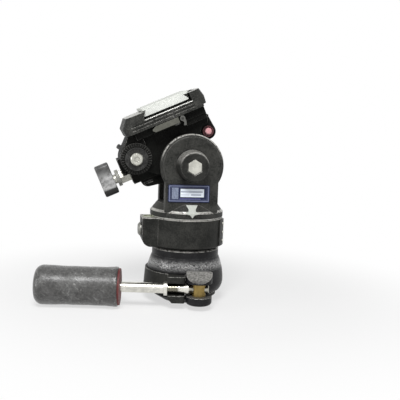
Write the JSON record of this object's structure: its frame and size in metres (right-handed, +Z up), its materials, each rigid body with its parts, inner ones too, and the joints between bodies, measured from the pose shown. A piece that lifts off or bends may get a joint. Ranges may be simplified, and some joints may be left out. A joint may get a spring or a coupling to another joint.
{
  "type": "three way pan tilt head",
  "caption": "Small photo and film head with two stacked pan axes, a tilting platform with a quick-release plate, a lock knob and a side handle with a rubber grip.",
  "frame": {"origin": "centre of the tripod socket in the plane of the foot, on the pan axis", "axes": "+Z up along the pan axis, +X towards the lens side of the platform, -Y towards the side with the badge; the tilt axis lies along Y"},
  "size_m": [0.1493, 0.0789, 0.1676],
  "materials": {
    "casting": "black crackle paint over cast alloy, worn pale at the rims",
    "bell_metal": "blue-black satin anodised",
    "boss_metal": "black satin",
    "drum_metal": "machined",
    "bright_steel": "bright zinc",
    "rod_nickel": "bright nickel",
    "brass": "dull turned brass",
    "nylon": "plain",
    "grip_rubber": "worn and scratched",
    "grip_ring_red": "dull red",
    "strip_metal": "satin",
    "rosette_metal": "grey satin, toothed",
    "badge_blue": "blue printed plate with a blank white panel",
    "vial_fluid": "olive fluid behind a clear dome",
    "level_rim": "black",
    "knob_plastic": "worn grey satin",
    "knob_steel": "satin",
    "button_red": "faded red",
    "bezel_red": "dark red",
    "lever_metal": "grey satin",
    "plate_metal": "pale satin, scratched",
    "facing": "pale grey non-slip sheet"
  },
  "bodies": {
    "foot": {"foot_disc": "casting", "brake_drum": "drum_metal", "tripod_bush": "bright_steel", "pivot_stud": "bright_steel", "pivot_nut": "bright_steel", "pivot_washer": "bright_steel"},
    "turret": {"bell_housing": "bell_metal", "pivot_bush": "brass", "thrust_washer": "nylon", "clamp_band": "casting", "band_pin": "bright_steel", "brass_nut": "brass", "collar": "casting", "collar_bolts": "bright_steel", "collar_strip": "strip_metal", "strip_screws": "bright_steel", "level_vial": "vial_fluid", "level_ring": "level_rim", "pan_brake_pad": "nylon", "pan_washer": "nylon"},
    "handle": {"handle_rod": "rod_nickel", "handle_flange": "rod_nickel", "grip_core": "nylon", "handle_grip": "grip_rubber", "grip_ring": "grip_ring_red"},
    "pan_lock": {"pan_lock_screw": "bright_steel"},
    "yoke": {"yoke": "casting", "pan_retainer": "bright_steel", "pan_retaining_screw": "bright_steel", "badge": "badge_blue", "index_pointer": "strip_metal", "tilt_drum": "drum_metal", "tilt_axle": "bright_steel", "axle_boss": "boss_metal", "axle_nut": "bright_steel", "rear_boss": "boss_metal", "friction_washers": "nylon"},
    "tilt_head": {"tilt_body": "casting", "brake_cotter": "brass", "lock_bush": "brass", "rosette_near": "rosette_metal", "rosette_far": "rosette_metal", "clamp_ring": "rosette_metal", "button_bezel": "bezel_red", "tray": "casting", "tray_screws": "bright_steel", "lever_pin": "bright_steel", "catch_pin": "bright_steel"},
    "lock_knob": {"lock_knob": "knob_plastic", "knob_stem": "knob_steel", "knob_washer": "nylon"},
    "rosette_screw": {"rosette_screw": "bright_steel"},
    "wing_screw": {"wing_screw": "knob_plastic"},
    "red_button": {"red_button": "button_red"},
    "release_lever": {"release_lever": "lever_metal"},
    "clamp_jaw": {"clamp_jaw": "bright_steel"},
    "safety_catch": {"safety_catch": "lever_metal"},
    "camera_plate": {"quick_release_plate": "plate_metal", "plate_facing": "facing"}
  },
  "joints": [
    {"name": "lower_pan", "type": "hinge", "parent": "foot", "child": "turret", "pos_m": [0, 0, 0], "axis": [0, 0, 1], "continuous": true},
    {"name": "handle_twist", "type": "hinge", "parent": "turret", "child": "handle", "pos_m": [-0.0054, -0.03408, 0.0157], "axis": [-0.9877, 0.1564, 0], "range_deg": [-30, 330]},
    {"name": "pan_lock_turn", "type": "hinge", "parent": "turret", "child": "pan_lock", "pos_m": [-0.0365, -0.0058, 0.057], "axis": [1, 0, 0], "range_deg": [-30, 330]},
    {"name": "head_pan", "type": "hinge", "parent": "turret", "child": "yoke", "pos_m": [0, 0, 0.0675], "axis": [0, 0, 1], "continuous": true},
    {"name": "tilt", "type": "hinge", "parent": "yoke", "child": "tilt_head", "pos_m": [0, 0, 0.1085], "axis": [0, 1, 0], "range_deg": [-10, 100]},
    {"name": "lock_knob_turn", "type": "hinge", "parent": "tilt_head", "child": "lock_knob", "pos_m": [-0.06294, 0, 0.09252], "axis": [0.9135, 0, 0.4067], "range_deg": [-30, 330]},
    {"name": "rosette_screw_turn", "type": "hinge", "parent": "tilt_head", "child": "rosette_screw", "pos_m": [-0.04257, 0, 0.11264], "axis": [0, 1, 0], "range_deg": [-30, 330]},
    {"name": "wing_screw_turn", "type": "hinge", "parent": "tilt_head", "child": "wing_screw", "pos_m": [-0.04257, 0, 0.11264], "axis": [0, 1, 0], "range_deg": [-30, 330]},
    {"name": "button_press", "type": "slide", "parent": "tilt_head", "child": "red_button", "axis": [0, 1, 0], "range_m": [0, 0.002], "stiffness_N_per_m": 300, "springref_m": -0.001},
    {"name": "lever_swing", "type": "hinge", "parent": "tilt_head", "child": "release_lever", "pos_m": [-0.01379, -0.0236, 0.14242], "axis": [-0.4067, 0, 0.9135], "range_deg": [0, 90]},
    {"name": "jaw_slide", "type": "slide", "parent": "tilt_head", "child": "clamp_jaw", "axis": [0.9135, 0, 0.4067], "range_m": [0, 0.002]},
    {"name": "catch_swing", "type": "hinge", "parent": "tilt_head", "child": "safety_catch", "pos_m": [-0.00922, 0, 0.14446], "axis": [0, 1, 0], "range_deg": [-15, 15]},
    {"name": "plate_slide", "type": "slide", "parent": "tilt_head", "child": "camera_plate", "axis": [0, -1, 0], "range_m": [0, 0.06]}
  ],
  "couplings": [
    {"joint": "lever_swing", "follows": "jaw_slide", "rad_per_m": 785}
  ]
}
